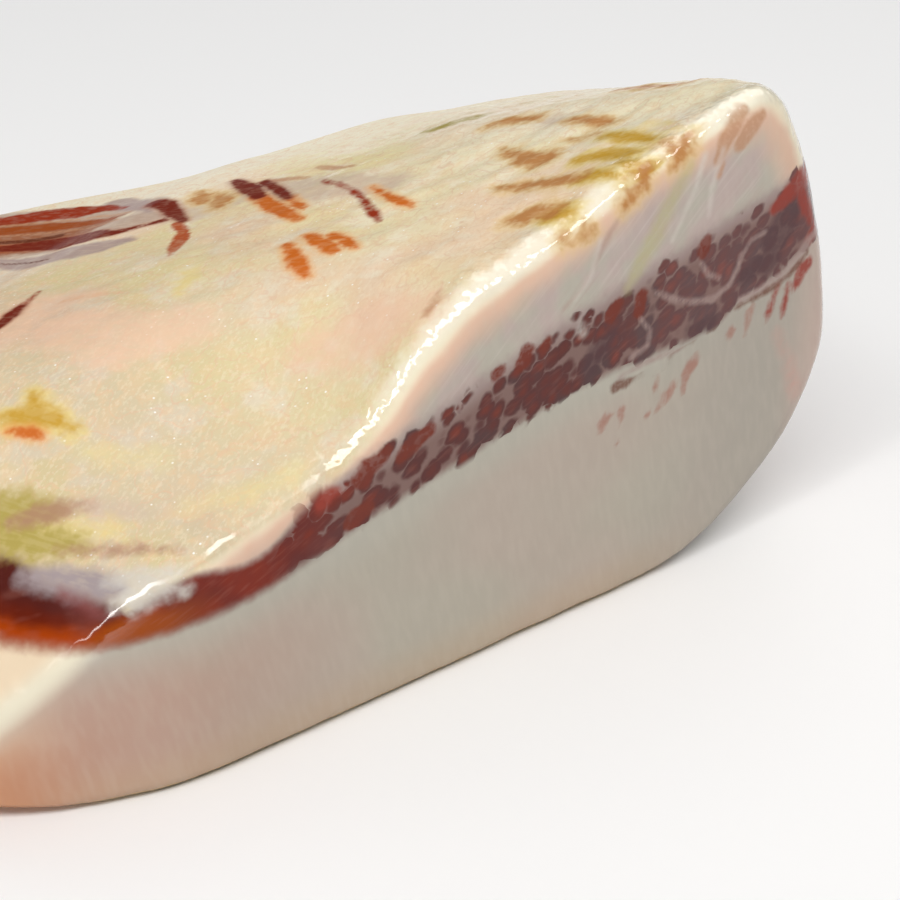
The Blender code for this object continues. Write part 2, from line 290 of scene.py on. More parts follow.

# Stains of the top, and a membrane with painted sheen at the left end: for each kind, the strokes, as the
# points that they follow (u, v, half width)
TOP_MARKS = {
    "sheath": (
        ((58, 116, 7), (66, 103, 6.5), (72, 93, 6), (78, 86, 4), (82, 83, 2)),
        ((66, 124, 5), (78, 107, 4.5), (83, 100, 4), (84.5, 93, 3.4)),
    ),
    "flesh": (
        ((62, 116, 8), (67, 106, 8), (71.6, 100, 7), (77.5, 96, 3.6), (80.5, 93.5, 1)),
    ),
    "red": (
        ((63, 126, 2.4), (69.3, 119.2, 2.4), (76.2, 113.3, 3.4), (79.9, 109, 3.2), (83.2, 106, 2.1)),
        ((83.2, 106, 1.6), (84.1, 100.1, 0.7)),
        ((99.4, 61.4, 0.5), (98, 51.8, 0.5), (95.8, 45.4, 0.6), (92.7, 38.3, 0.8), (91.3, 34.5, 0.4)),
        ((48.6, 64.9, 0.7), (51, 66.6, 0.5), (53.3, 68.3, 0.3)),
    ),
    "brown": (
        ((62, 121, 2), (66.7, 113.4, 1.9), (72.9, 106.5, 1.9), (78, 99.5, 1.4), (79.2, 94.3, 0.7)),
        ((58, 112, 2.1), (62.6, 104.4, 2.1), (65.6, 101, 2)),
    ),
    "tan": (
        ((63, 122, 0.6), (68.1, 116.4, 0.5), (74.2, 109.3, 0.5), (80.2, 101.9, 0.5), (81.4, 92.9, 0.4)),
        ((62, 117, 0.5), (68, 108, 0.4), (74, 100.5, 0.4), (78.5, 90.5, 0.3)),
        ((64, 126, 0.5), (71, 118.5, 0.3), (78, 111.5, 0.3), (82, 107, 0.2)),
        ((104.6, 70.6, 0.7), (104.4, 65.5, 0.9), (105.4, 61.6, 0.6)),
        ((97.5, 77, 0.8), (99.2, 72.6, 1), (100.6, 67.5, 0.6)),
        ((77.3, 4.7, 0.5), (79.1, 5.5, 0.8), (80.5, 6.1, 0.6)),
    ),
    "dark": (
        ((60, 114, 0.7), (64.1, 107.8, 0.7), (67.6, 103.3, 0.8), (71.6, 99.9, 1)),
        ((56, 106, 0.3), (59.3, 97.1, 0.3), (61.4, 91.8, 0.4), (62.4, 84.2, 0.4)),
    ),
    "maroon": (
        ((63, 104.6, 1.4), (65.7, 101.2, 2), (68.6, 97.6, 2.7), (70.3, 91.4, 3.4), (71.4, 87.2, 2.8)),
        ((71.4, 87.2, 2.8), (73.1, 83.9, 1.3), (75.7, 82.1, 0.8), (78.5, 80.5, 0.7), (80.6, 79.3, 0.9)),
        ((85.2, 91, 1.9), (85.1, 87.3, 1.8), (83.2, 80.6, 1.3), (81.3, 74.2, 0.7)),
        ((97.5, 85.5, 0.8), (96, 80.9, 1.4), (94.5, 75.1, 1.7), (92.4, 69.3, 1.1)),
        ((97.8, 76.6, 0.9), (95.5, 68.7, 0.9), (93, 61.6, 0.8)),
        ((43, 61, 0.8), (44.6, 62.3, 1.3), (46.4, 63.4, 1.3), (49, 65.2, 0.7)),
    ),
    "lilac": (
        ((55, 108, 1.8), (59.6, 97.8, 1.8), (63, 85.4, 4.5), (65.5, 81.4, 3.5), (68.7, 78.9, 3)),
        ((68.7, 78.9, 3), (72.1, 76.9, 1.8)),
        ((83.9, 106.2, 2), (86, 106.5, 2.8), (85.1, 98.2, 2.5), (81.9, 86.7, 0.7)),
    ),
    "rust": (
        ((80.1, 74.6, 1), (78.1, 68.6, 1), (75.6, 65.4, 1.6), (73, 62.5, 1), (70.6, 59.2, 0.4)),
    ),
    "amber": (
        ((91.2, 86.6, 1), (89.6, 83, 2), (88.4, 80.6, 1.5)),
        ((91.4, 80.2, 1.2), (89.6, 76.4, 2.3), (86.8, 72.8, 1)),
        ((136.9, 35, 1.2), (137, 28, 1.6), (137, 20, 1.2)),
        ((121.4, 46.6, 1.2), (123.6, 45, 1.7), (125, 40.4, 1.4)),
        ((124.2, 31.4, 1), (123.7, 26.2, 1.4), (123.1, 20.8, 0.8)),
        ((118, 24, 0.7), (119.4, 20.6, 0.9)),
        ((116.2, 4.2, 0.8), (117, 2, 0.5)),
        ((114.3, 34.9, 0.7), (112.3, 28.2, 1.8), (111.6, 22.6, 2.2), (113.9, 23.5, 0.9)),
        ((103.7, 23, 0.8), (105.2, 16.7, 1.3), (106.1, 11.6, 1.7), (106.9, 8.8, 1.3)),
        ((96.8, 11, 1.6), (98.4, 8.7, 2.2), (99.4, 6.3, 1.8)),
    ),
    "plum": (
        ((26.6, 11.4, 0.5), (27.6, 8.1, 0.8), (28.3, 5.6, 0.8), (28.7, 4.1, 0.3)),
    ),
    # A thin membrane over the lean at the left corner, its lilac-grey partly painted sheen
    "veil": (
        ((24.4, 17.4, 0.5), (26.4, 14.2, 1.2), (28.6, 10.6, 1.6), (30.4, 7.4, 1.5), (31.6, 5, 0.8)),
    ),
    "frost": (
        ((31.4, 7.2, 0.8), (33.4, 5, 1.3), (35.2, 3, 1.5), (36.8, 2, 1.2), (39, 1.2, 0.5)),
        ((30.4, 4.2, 0.7), (32, 3.4, 1.3), (34.4, 2, 1.6), (37, 1, 1.2)),
    ),
    "halo": (
        ((81.9, 86.7, 4), (86, 77, 6), (94.2, 73.2, 5), (97.2, 58.9, 4.8), (101.1, 46, 3.4)),
        ((34.5, 18.7, 1), (37, 15.6, 1.2), (39.9, 11.8, 0.8)),
        ((125, 41, 1.4), (124.2, 34.3, 1.6), (123.9, 29.8, 1.2)),
    ),
    "orange": (
        ((92.4, 70.3, 1), (89.8, 61.3, 1.4), (88.7, 55.8, 1.4), (87.5, 50.5, 0.9)),
        ((93, 61.6, 0.8), (90.8, 54.2, 0.8)),
        ((80.2, 42, 0.7), (77.4, 35.1, 1.3), (75.8, 30.2, 0.8)),
        ((83.6, 42, 0.6), (82.4, 36, 1.3), (81.6, 31.4, 0.8)),
        ((85, 37.4, 0.8), (84.3, 32.8, 0.9), (83.3, 29.2, 0.5)),
        ((99.7, 48.4, 0.3), (97.4, 41.3, 0.6), (96.6, 36.6, 0.9), (96.2, 33.6, 0.4)),
        ((32.6, 36.4, 0.5), (34.4, 33.6, 0.7), (35.6, 31.4, 0.4)),
    ),
    "peach": (
        ((42.1, 57, 4), (45.4, 60.1, 4.4), (50.5, 62.3, 4.2), (56.4, 58, 2.4)),
        ((68.3, 18, 3.2), (72.7, 12.8, 4.6), (77.2, 6.6, 3.6)),
        ((47.9, 50.5, 5), (52.7, 39.9, 7), (59.6, 35.5, 4.6)),
    ),
    "faint": (
        ((52.9, 60, 0.6), (56.6, 56.6, 0.6), (59.8, 51.9, 0.5)),
    ),
    "gold": (
        ((33, 38.9, 1), (34.8, 36.8, 1.6), (37.4, 34, 1.5), (38.8, 29.8, 0.5)),
        ((37.8, 39, 0.7), (37.2, 35.5, 1)),
        ((118.6, 17.1, 1), (117.9, 11.7, 1.5), (117, 6.8, 0.8)),
        ((111.9, 14.3, 1.6), (112.9, 11.2, 1.8), (112.9, 6.2, 1.3)),
        ((110, 3.6, 1.5), (111.2, 2, 1.2), (112.7, 0.8, 0.5)),
        ((106.4, 7.9, 1), (107.3, 5.2, 1.3), (107.8, 3, 0.6)),
        ((98.2, 5.4, 1.4), (99.4, 4.1, 1.6), (100.5, 3.8, 0.8)),
    ),
    "smear": (
        ((26.5, 24.5, 0.7), (29, 22.9, 1.3), (32, 20.4, 1.4), (35, 18.2, 0.5)),
        ((29, 16.4, 0.4), (31.1, 13.9, 0.6), (33.6, 10.8, 0.9), (36.3, 8.2, 0.8), (39.6, 3.8, 0.3)),
    ),
    "olive": (
        ((23, 26.4, 1.8), (26.4, 21.8, 1.6), (28.2, 18.2, 1.7), (31, 15, 1)),
        ((25, 30, 1.4), (28, 25.5, 1.8), (31, 21, 1)),
        ((121, 62, 1.2), (126, 56, 1.2)),
    ),
    "yellow": (
        ((25, 24.1, 1.6), (30.6, 18.2, 1.8), (36, 12.4, 1.2)),
        ((63.7, 44.6, 0.7), (66.4, 46.9, 1.6), (68.4, 49.4, 1.2)),
        ((121.9, 12.7, 0.8), (121.5, 7.7, 0.8)),
        ((119.7, 5.4, 0.9), (120.6, 2.2, 0.5)),
    ),
    "butter": (
        ((38, 27, 0.6), (41, 22.6, 1.2), (45, 18, 0.6)),
        ((44, 9, 0.6), (50, 5.6, 1.4), (56, 3.6, 0.9)),
    ),
}

# Marks of the front face, in the same way (u, w, half width)
FRONT_MARKS = {
    "amber": (
        ((99.5, 59.7, 0.5), (100.8, 60.3, 0.9)),
        ((96.8, 59.5, 0.4), (98, 59.8, 0.6)),
        ((106.6, 62.4, 0.7), (108.8, 63.8, 1), (110.6, 65.2, 1), (112.4, 66.8, 0.5)),
        ((115.6, 65.9, 0.7), (117.2, 67.2, 1.1), (118.9, 68.6, 1), (120.6, 70.2, 0.6)),
    ),
    "tan": (
        ((128.4, 70.8, 0.6), (126.6, 69.5, 1.2), (124.6, 67.6, 1.4), (123.4, 65, 0.8)),
        ((131.5, 69.6, 0.8), (129.4, 68.4, 1.4), (127.4, 66.4, 1.2)),
        ((124.4, 64, 0.4), (123.7, 62.8, 0.6)),
    ),
    "moss": (
        ((118.2, 65.5, 0.9), (115.2, 61.2, 1.3), (112.5, 56.8, 1.5), (110.1, 53.5, 1.3), (108, 50.2, 0.6)),
    ),
    "rose": (
        ((105.3, 60.5, 0.4), (103.9, 58.9, 0.5), (102.7, 57.2, 0.4), (101.3, 54.7, 0.3), (99.4, 52.3, 0.3)),
        ((99.4, 52.3, 0.3), (96.5, 50.6, 0.2)),
    ),
    "film": (
        ((120.9, 66.3, 0.4), (119.4, 61.6, 0.4), (117.6, 58.4, 0.3), (115.7, 55.3, 0.3)),
        ((124.2, 66.2, 0.4), (122.7, 61.6, 0.4), (122.4, 57.2, 0.3)),
        ((102.6, 58.6, 0.3), (101.1, 54, 0.3), (98.5, 51.2, 0.3)),
    ),
    "frost": (
        ((36.8, 30.4, 0.4), (37.8, 29.6, 0.8), (38.6, 30, 0.4)),
        ((31.6, 28.8, 1), (33.4, 29.8, 1.4), (36, 30.8, 1.3)),
        ((99.6, 47.2, 0.3), (99.9, 46.4, 0.5), (100.1, 45.8, 0.3)),
    ),
    "lean": (
        ((62.1, 30.7, 1.4), (64.4, 31.6, 1.2)),
        ((63.3, 36.1, 1.2), (65.4, 37.5, 1.2), (67.9, 38.7, 1)),
        ((70.1, 37.4, 1.1), (72.2, 38.6, 1.4), (74.5, 39.6, 1)),
        ((85.2, 44, 0.9), (86.2, 44.7, 0.8)),
        ((89.6, 44.6, 1.3), (90.6, 46.2, 1.2)),
        ((93.2, 45.8, 0.8), (94, 46.4, 0.8)),
        ((105.2, 47, 1.2), (106.2, 48.3, 1)),
        ((110.2, 46.2, 1.2), (110.5, 48.3, 1.1)),
        ((121.8, 52, 1.2), (122.3, 53.2, 1.1)),
    ),
    "purple": (
        ((135.5, 46.1, 1.8), (136.4, 49.9, 2.7), (138.1, 52.2, 2.9), (139.3, 54.5, 2)),
        ((130.9, 45.8, 1.7), (133.7, 47.1, 1.7)),
        ((120.5, 40.2, 1), (124.4, 40.3, 1.2)),
        ((105.6, 43.8, 1.2), (103.4, 42.3, 1.9), (101.3, 40.6, 1.5)),
    ),
    "septum": (
        ((107.1, 36.9, 0.4), (111.2, 37.5, 0.4), (115.3, 37.8, 0.4), (119.4, 37.6, 0.3)),
        ((113.2, 48.2, 0.3), (115.7, 46.7, 0.4), (120, 44.7, 0.4), (124.5, 44, 0.5), (127.5, 45.2, 0.4)),
        ((127.5, 45.2, 0.4), (129.2, 47.4, 0.4), (129.5, 49.3, 0.3)),
        ((121.5, 50.4, 0.2), (123.2, 48.1, 0.4), (125.4, 47, 0.4)),
        ((110.6, 45, 0.2), (112.6, 42.5, 0.3), (112.4, 40.3, 0.4), (109.1, 39.3, 0.4)),
        ((130.3, 42.1, 0.6), (134.3, 42.6, 0.7), (138.3, 43.6, 0.8), (141.7, 45.6, 0.9), (143.7, 47.9, 0.8)),
        ((143.7, 47.9, 0.8), (146.5, 48.7, 0.7)),
        ((129.9, 49.2, 0.2), (131.3, 51.2, 0.3), (134.2, 51.7, 0.3)),
    ),
    "vein": (
        ((106.5, 35.6, 0.9), (107.5, 35.7, 0.8), (110.4, 35.4, 0.6), (115.1, 35.8, 0.4), (117.8, 36.9, 0.7)),
        ((117.8, 36.9, 0.6), (120.8, 37.6, 0.3), (125.6, 38.6, 0.3)),
        ((129.3, 41.2, 0.3), (133.2, 41.6, 0.4), (137.3, 42.4, 0.6), (140.4, 43.7, 0.5), (143.5, 46, 0.4)),
    ),
    "crimson": (
        ((57.5, 34.5, 0.9), (58.9, 35.6, 0.9), (60, 35.8, 0.8)),
        ((135.8, 54.9, 1.1), (138.6, 56.7, 1.7), (140.8, 57.9, 1.8), (143.1, 58.2, 1.6)),
        ((140.9, 56.4, 1.1), (142.7, 53.6, 1.3), (144, 51.1, 1)),
        ((136.1, 37.5, 0.7), (137.1, 40.2, 0.6), (137.8, 42.4, 0.4)),
        ((139.4, 37.2, 0.6), (139.9, 39.7, 0.6), (140.1, 42.2, 0.3)),
        ((141.8, 41.7, 0.9), (142.5, 43.4, 1.3), (144.2, 44.3, 0.9)),
        ((144.2, 48.4, 1.3), (145.5, 49.1, 1.4)),
    ),
    "pink": (
        ((138.6, 34.8, 0.6), (139.8, 32, 0.7), (142, 28.4, 0.9), (144.3, 22.8, 1.5)),
    ),
    "speck": (
        ((104, 29.7, 0.7), (104.5, 31, 0.8)),
        ((105.4, 31.6, 0.6), (106.2, 31.8, 0.4)),
        ((107.9, 31.6, 0.6), (108, 30.2, 0.5)),
        ((107.1, 27.2, 0.4), (107.4, 26.1, 0.4)),
        ((113.1, 28.5, 0.6), (113.6, 29.6, 0.4)),
        ((115, 29.5, 0.7), (116.5, 30.6, 0.8)),
        ((117.5, 31.2, 0.9), (118.1, 32.4, 0.7)),
        ((119.8, 30.6, 0.7), (120.1, 31.8, 0.7)),
        ((114.4, 32.9, 0.5), (114.7, 34.3, 0.4)),
        ((120.4, 33.8, 0.9), (121.4, 34.8, 1.2), (122.1, 35.4, 0.9)),
        ((128.4, 36.6, 0.7), (129.1, 37.9, 0.9)),
        ((131.8, 36.2, 0.5), (132.4, 38.3, 0.5)),
        ((132.2, 39.6, 0.6), (133, 40.5, 0.4)),
    ),
}

# Looks of the marks, in the order of painting: kind, colour, softness and raggedness of the edge,
# strength, and growth beyond the stroke
MARK_LOOKS = (
    ("peach", (0.87, 0.57, 0.4), 2.5, 2.5, 0.6, 0.0),
    ("halo", (0.6, 0.46, 0.38), 2.0, 2.0, 0.6, 0.0),
    ("sheath", (0.5, 0.36, 0.28), 1.2, 0.8, 0.85, 0.0),
    ("flesh", (0.32, 0.105, 0.04), 1.4, 1.8, 0.88, 0.0),
    ("faint", (0.8, 0.48, 0.3), 0.5, 0.8, 0.6, 0.0),
    ("butter", (0.8, 0.69, 0.32), 2.6, 2.2, 0.6, 0.0),
    ("yellow", (0.8, 0.64, 0.24), 1.5, 2.2, 0.65, 0.0),
    ("olive", (0.44, 0.35, 0.09), 1.4, 2.0, 0.95, 0.6),
    ("lilac", (0.4, 0.29, 0.27), 0.9, 0.9, 0.85, 0.0),
    # Membrane over the lean at the left corner, partly painted sheen
    ("veil", (0.37, 0.305, 0.31), 1.1, 0.8, 0.95, 0.3),
    ("frost", (0.66, 0.62, 0.56), 1.0, 1.2, 0.75, 0.0),
    ("smear", (0.42, 0.22, 0.15), 0.9, 1.4, 0.75, 0.0),
    ("moss", (0.54, 0.49, 0.25), 1.0, 0.8, 0.6, 0.0),
    ("amber", (0.82, 0.6, 0.28), 1.4, 1.4, 0.75, 1.0),
    ("gold", (0.8, 0.63, 0.22), 1.4, 1.6, 0.8, 1.1),
    ("gold", (0.58, 0.33, 0.03), 1.2, 2.2, 0.92, 0.1),
    ("amber", (0.5, 0.21, 0.06), 1.2, 2.2, 0.88, -0.1),
    ("tan", (0.56, 0.29, 0.16), 0.5, 0.5, 0.75, 0.0),
    ("orange", (0.84, 0.42, 0.14), 0.9, 0.8, 0.7, 0.6),
    ("orange", (0.62, 0.14, 0.01), 0.6, 1.2, 0.94, 0.0),
    ("rust", (0.46, 0.08, 0.016), 0.5, 1.0, 0.94, 0.0),
    ("brown", (0.33, 0.07, 0.012), 0.6, 0.6, 0.96, 0.0),
    ("red", (0.31, 0.03, 0.006), 0.6, 0.7, 0.97, 0.0),
    ("plum", (0.24, 0.055, 0.05), 1.0, 0.4, 0.7, 0.0),
    ("maroon", (0.44, 0.16, 0.09), 0.8, 0.5, 0.6, 0.5),
    ("maroon", (0.18, 0.018, 0.006), 0.5, 0.6, 1.0, 0.0),
    ("dark", (0.12, 0.024, 0.008), 0.4, 0.3, 0.9, 0.0),
    ("lean", (0.2, 0.036, 0.02), 0.4, 0.8, 0.95, 0.0),
    ("purple", (0.1, 0.048, 0.052), 0.9, 0.8, 0.7, 0.0),
    ("crimson", (0.33, 0.05, 0.032), 0.6, 0.8, 0.9, 0.0),
    ("septum", (0.42, 0.3, 0.27), 0.5, 0.5, 0.75, 0.0),
    ("vein", (0.2, 0.085, 0.055), 0.45, 0.6, 0.85, 0.0),
    ("speck", (0.42, 0.2, 0.15), 0.5, 0.7, 0.8, 0.0),
    ("rose", (0.46, 0.27, 0.22), 0.6, 0.6, 0.5, 0.0),
    ("pink", (0.66, 0.36, 0.3), 1.4, 1.0, 0.5, 0.0),
    ("film", (0.8, 0.75, 0.68), 0.6, 0.4, 0.45, 0.0),
)

# How far the marks' edges wander for a raggedness of one
MARK_WANDER = 1.6

# How far the lean's lower edge lies below its even line on the front face, at places along it
EDGE_PLACES = (102.0, 108.0, 121.0, 127.0, 130.5, 135.0, 140.0, 145.0)
EDGE_DROPS = (0.4, 0.8, 2.6, 2.3, 0.2, 0.1, -1.2, -2.4)

# How far the lean's lower edge drops on the left end, and where that starts and ends (v and u)
END_DROP = 1.3
END_DROP_BACK = (4.0, 14.0)
END_DROP_ALONG = (44.0, 30.0)

# Where fat bites into the top of the lean on the front face
BITE_MARK = 48.0
BITE_WIDTH = 6.5
BITE_DEPTH = 2.9

# Farthest distance that a mark's field tells apart, how steeply it ends where the face turns, and where
# the marks of the front face end (v)
FIELD_REACH = 8.0
FIELD_TURN = 10.0
FRONT_FADE = (2.0, 5.0)

random = np.random.default_rng(11)


def soft_min(a, b, blend):
    """The smaller of two distances, rounded off where they are nearly the same."""
    near = np.maximum(blend - np.abs(a - b), 0.0) / blend
    return np.minimum(a, b) - near * near * blend / 4.0


def ramp(x, width):
    """Nought below zero and x above it, with a bend of the given width."""
    return (x + np.sqrt(x * x + width * width)) / 2.0


def smooth_step(start, end, x):
    part = np.clip((x - start) / (end - start), 0.0, 1.0)
    return part * part * (3.0 - 2.0 * part)


def unevenness(u, v, w):
    """The slight waviness of soft fat."""
    long_phase = u / LONG_WAVE_SIZES[0] + v / LONG_WAVE_SIZES[1]
    short_phase = u / SHORT_WAVE_SIZES[0] + v / SHORT_WAVE_SIZES[1] + w / SHORT_WAVE_SIZES[2]
    return LONG_WAVE * np.sin(long_phase) + SHORT_WAVE * np.sin(short_phase)


def top_height(u, v):
    """Height of the top face, before its edges are cut and rounded."""
    along = u - RIDGE_MARK
    crowned = along - CROWN_TURN * ramp(u - CROWN_FROM, CROWN_BEND)
    twist = TWIST_LEFT * np.minimum(along, 0.0) + TWIST_RIGHT * np.clip(along, 0.0, TWIST_REACH)
    face = RIDGE_HEIGHT + RISE_ALONG * crowned - FALL_BACK * v - twist * v
    dip = DIP_DEPTH * smooth_step(DIP_FROM, DIP_TO, u)
    fold = FOLD_DEPTH * np.exp(-((u - FOLD_MARK) / FOLD_WIDTH) ** 2)
    return face - (dip + fold) * np.exp(-(v / DIP_REACH) ** 2)


def end_profile(w):
    """How far the right end reaches at each height: curled in below, leaning in above."""
    low = np.clip((BULGE_HEIGHT - w) / BULGE_HEIGHT, 0.0, 1.0)
    curl = UNDERCUT * (1.0 - (1.0 - low ** UNDERCUT_POWER) ** (1.0 / UNDERCUT_POWER))
    high = np.maximum(w - BULGE_HEIGHT, 0.0) / LEAN_IN_HEIGHT
    return END_BULGE - curl - LEAN_IN * high ** LEAN_IN_POWER


def plane_depth(u, v, w, mark, height, slopes):
    """Depth below a sloping plane that has the given height over its mark."""
    plane = height + slopes[0] * (u - mark[0]) + slopes[1] * (v - mark[1])
    return (plane - w) / np.sqrt(1.0 + slopes[0] ** 2 + slopes[1] ** 2)


def back_cut_depth(u, v, w):
    """Depth below the sloping cut at the far left."""
    inward = BACK_CUT_HEADING[0] * (u - BACK_CUT_MARK[0]) + BACK_CUT_HEADING[1] * (v - BACK_CUT_MARK[1])
    rise = BACK_CUT_SLOPE * inward + BACK_CUT_RISE * ramp(inward - BACK_CUT_WIDTH, BACK_CUT_BEND)
    return BACK_CUT_COSINE * (BACK_CUT_HEIGHT + rise - w)


def top_depth(u, v, w):
    """Depth below the top face and the sloping cuts round the left end."""
    depth = TOP_COSINE * (top_height(u, v) - w)
    depth = soft_min(depth, plane_depth(u, v, w, SAG_MARK, SAG_HEIGHT, SAG_SLOPES), SAG_BLEND)
    depth = soft_min(depth, back_cut_depth(u, v, w), BACK_CUT_BLEND)
    return soft_min(depth, plane_depth(u, v, w, CORNER_MARK, CORNER_HEIGHT, CORNER_SLOPES), CORNER_BLEND)


def side_depth(u, v, w):
    """Depth inside the left end, the back and the right end."""
    right = END_COSINE * (end_profile(w) + END_SLANT * np.minimum(v, END_SLANT_REACH) - u)
    back = (BACK_SLANT * (BACK_POINT[0] - u) + BACK_POINT[1] - v) / np.hypot(BACK_SLANT, 1.0)
    back = back - BACK_TILT * np.maximum(w - BACK_TILT_FROM, 0.0)
    return soft_min(soft_min(right, back, BACK_ROUNDNESS), u, LEFT_ROUNDNESS)


def front_depth(u, v):
    """Depth behind the front face, which curves back at the near left corner."""
    return v - np.maximum(CORNER_FROM - u, 0.0) ** 2 / (2.0 * CORNER_RADIUS)


def upper_depth(u, v, w):
    """Depth inside everything but the front face and the foot."""
    return soft_min(top_depth(u, v, w), side_depth(u, v, w), EDGE_BLEND)


def slab_depth(u, v, w):
    """Depth inside the whole slab: positive inside, nought on its surface."""
    ridge = np.interp(u, RIDGE_PLACES, RIDGE_BLENDS)
    depth = soft_min(upper_depth(u, v, w) + unevenness(u, v, w), front_depth(u, v), ridge)
    return soft_min(depth, w, FOOT_BLEND)


def lean_bottom(u, v):
    fade = 1.0 - smooth_step(0.0, LEAN_FADE_DEPTH, v)
    rise = LEAN_RISE * ramp(u - LEAN_RISE_FROM, LEAN_RISE_BEND)
    rise = rise - LEAN_EASING * ramp(u - LEAN_EASING_FROM, LEAN_EASING_BEND)
    return LEAN_HEIGHT + rise * fade - LEAN_FALL_BACK * v


def lean_top(u, v):
    thickness = LEAN_THICKNESS + LEAN_GROWTH * (u - LEAN_GROWTH_FROM)
    return lean_bottom(u, v) + thickness * (1.0 - LEAN_THINNING * v)


def on_surface(points):
    """Moves points along their rays from the slab's middle until they lie on its surface."""
    rays = points - MIDDLE
    near = np.zeros(len(points))
    far = np.full(len(points), RAY_REACH)
    for _ in range(HALVINGS):
        half = (near + far) / 2.0
        spot = MIDDLE + rays * half[:, None]
        inside = slab_depth(spot[:, 0], spot[:, 1], spot[:, 2]) > 0.0
        near = np.where(inside, half, near)
        far = np.where(inside, far, half)
    return MIDDLE + rays * near[:, None]


def row_heights():
    """Heights of the block's rows from 0 to 1, closer together in the lean and towards the top."""
    below = np.linspace(0.0, LEAN_ROWS_FROM, ROWS_BELOW, endpoint=False)
    within = np.linspace(LEAN_ROWS_FROM, LEAN_ROWS_TO, ROWS_LEAN, endpoint=False)
    above = np.linspace(LEAN_ROWS_TO, 1.0, ROWS_ABOVE + 1)
    return np.concatenate((below, within, above))


def block_lattice():
    """The lattice points on the faces of a block, and the quads between them."""
    rows = row_heights()
    sides = (CELLS_ALONG + 1, CELLS_BACK + 1, len(rows))
    ids = np.full(sides, -1)
    grid = np.indices(sides)
    last = np.array(sides)[:, None, None, None] - 1
    shell = ((grid == 0) | (grid == last)).any(axis=0)
    ids[shell] = np.arange(shell.sum())
    along, back, up = grid[:, shell]
    unit = np.stack((along / CELLS_ALONG, back / CELLS_BACK, rows[up]), axis=1)
    quads = []
    for axis in range(3):
        for end, flip in ((0, True), (sides[axis] - 1, False)):
            face = np.take(ids, end, axis=axis)
            turned = flip != (axis == 1)
            quads.append(face_quads(face, turned, axis == 2 and end == 0))
    return unit, np.concatenate(quads)


def face_quads(face, turned, hollow):
    """The quads of one face of the block, or only its rim if the face is hollow."""
    quads = np.stack((face[:-1, :-1], face[1:, :-1], face[1:, 1:], face[:-1, 1:]), axis=-1)
    if hollow:
        keep = np.ones(quads.shape[:2], bool)
        keep[RIM_CELLS:-RIM_CELLS, RIM_CELLS:-RIM_CELLS] = False
        quads = quads[keep]
    quads = quads.reshape(-1, 4)
    return quads[:, ::-1] if turned else quads


def slab_points(unit):
    """Bends the unit block close to the slab's shape, then lays it on the slab's surface."""
    slant = END_SLANT * END_SLANT_REACH * unit[:, 1]
    u = (END_BULGE - LEAN_IN + slant) * unit[:, 0]
    back = BACK_POINT[1] + BACK_SLANT * (BACK_POINT[0] - u)
    v = BLOCK_INSET + (back - 2.0 * BLOCK_INSET) * unit[:, 1]
    w = BLOCK_INSET + (top_height(u, v) - 2.0 * BLOCK_INSET) * unit[:, 2]
    u = BLOCK_INSET + (end_profile(w) + slant - 2.0 * BLOCK_INSET) * unit[:, 0]
    return on_surface(np.stack((u, v, w), axis=1))


def outward(points):
    """Unit normals of the slab's surface, from the slope of its depth."""
    step = 0.2
    slopes = []
    for axis in range(3):
        move = np.zeros(3)
        move[axis] = step
        ahead = slab_depth(*(points + move).T)
        behind = slab_depth(*(points - move).T)
        slopes.append(behind - ahead)
    normals = np.stack(slopes, axis=1)
    return normals / np.linalg.norm(normals, axis=1, keepdims=True)


def waves(points, size):
    """An even, irregular swell of about the given wavelength: a sum of seeded waves, about -1 to 1."""
    total = np.zeros(len(points))
    for _ in range(WAVES):
        heading = random.normal(size=3)
        heading /= np.linalg.norm(heading)
        length = size * random.uniform(*WAVE_SPREAD)
        start = random.uniform(0.0, 2.0 * math.pi)
        total += np.sin(points @ heading * (2.0 * math.pi / length) + start)
    return total / math.sqrt(WAVES / 2.0) / WAVE_PEAK


def stroke_depth(x, y, route):
    """How deep points lie inside a stroke that follows points (x, y, half width)."""
    depth = np.full(len(x), -FIELD_REACH)
    for (x0, y0, half0), (x1, y1, half1) in zip(route, route[1:]):
        part = ((x - x0) * (x1 - x0) + (y - y0) * (y1 - y0)) / ((x1 - x0) ** 2 + (y1 - y0) ** 2)
        part = np.clip(part, 0.0, 1.0)
        gap = np.hypot(x - x0 - part * (x1 - x0), y - y0 - part * (y1 - y0))
        depth = np.maximum(depth, half0 + part * (half1 - half0) - gap)
    return depth


def side_of_line(x, y, route):
    """Distance from a line of straight stretches, positive on its right."""
    nearest = np.full(len(x), np.inf)
    signed = np.zeros(len(x))
    for (x0, y0), (x1, y1) in zip(route, route[1:]):
        along = np.array((x1 - x0, y1 - y0))
        part = np.clip(((x - x0) * along[0] + (y - y0) * along[1]) / (along @ along), 0.0, 1.0)
        across_x = x - x0 - part * along[0]
        across_y = y - y0 - part * along[1]
        gap = np.hypot(across_x, across_y)
        turn = np.sign(across_x * along[1] - across_y * along[0])
        signed = np.where(gap < nearest, gap * turn, signed)
        nearest = np.minimum(nearest, gap)
    return signed


def mark_fields(points, upward):
    """For each kind of mark, how deep a point lies inside the nearest one, in millimetres."""
    u, v, w = points.T
    off_top = FIELD_TURN * (1.0 - upward)
    off_front = FIELD_TURN * smooth_step(*FRONT_FADE, v)
    names = sorted(set(TOP_MARKS) | set(FRONT_MARKS))
    fields = {name: np.full(len(points), -FIELD_REACH) for name in names}
    for marks, across, off in ((TOP_MARKS, v, off_top), (FRONT_MARKS, w, off_front)):
        for name, routes in marks.items():
            for route in routes:
                fields[name] = np.maximum(fields[name], stroke_depth(u, across, route) - off)
    return fields


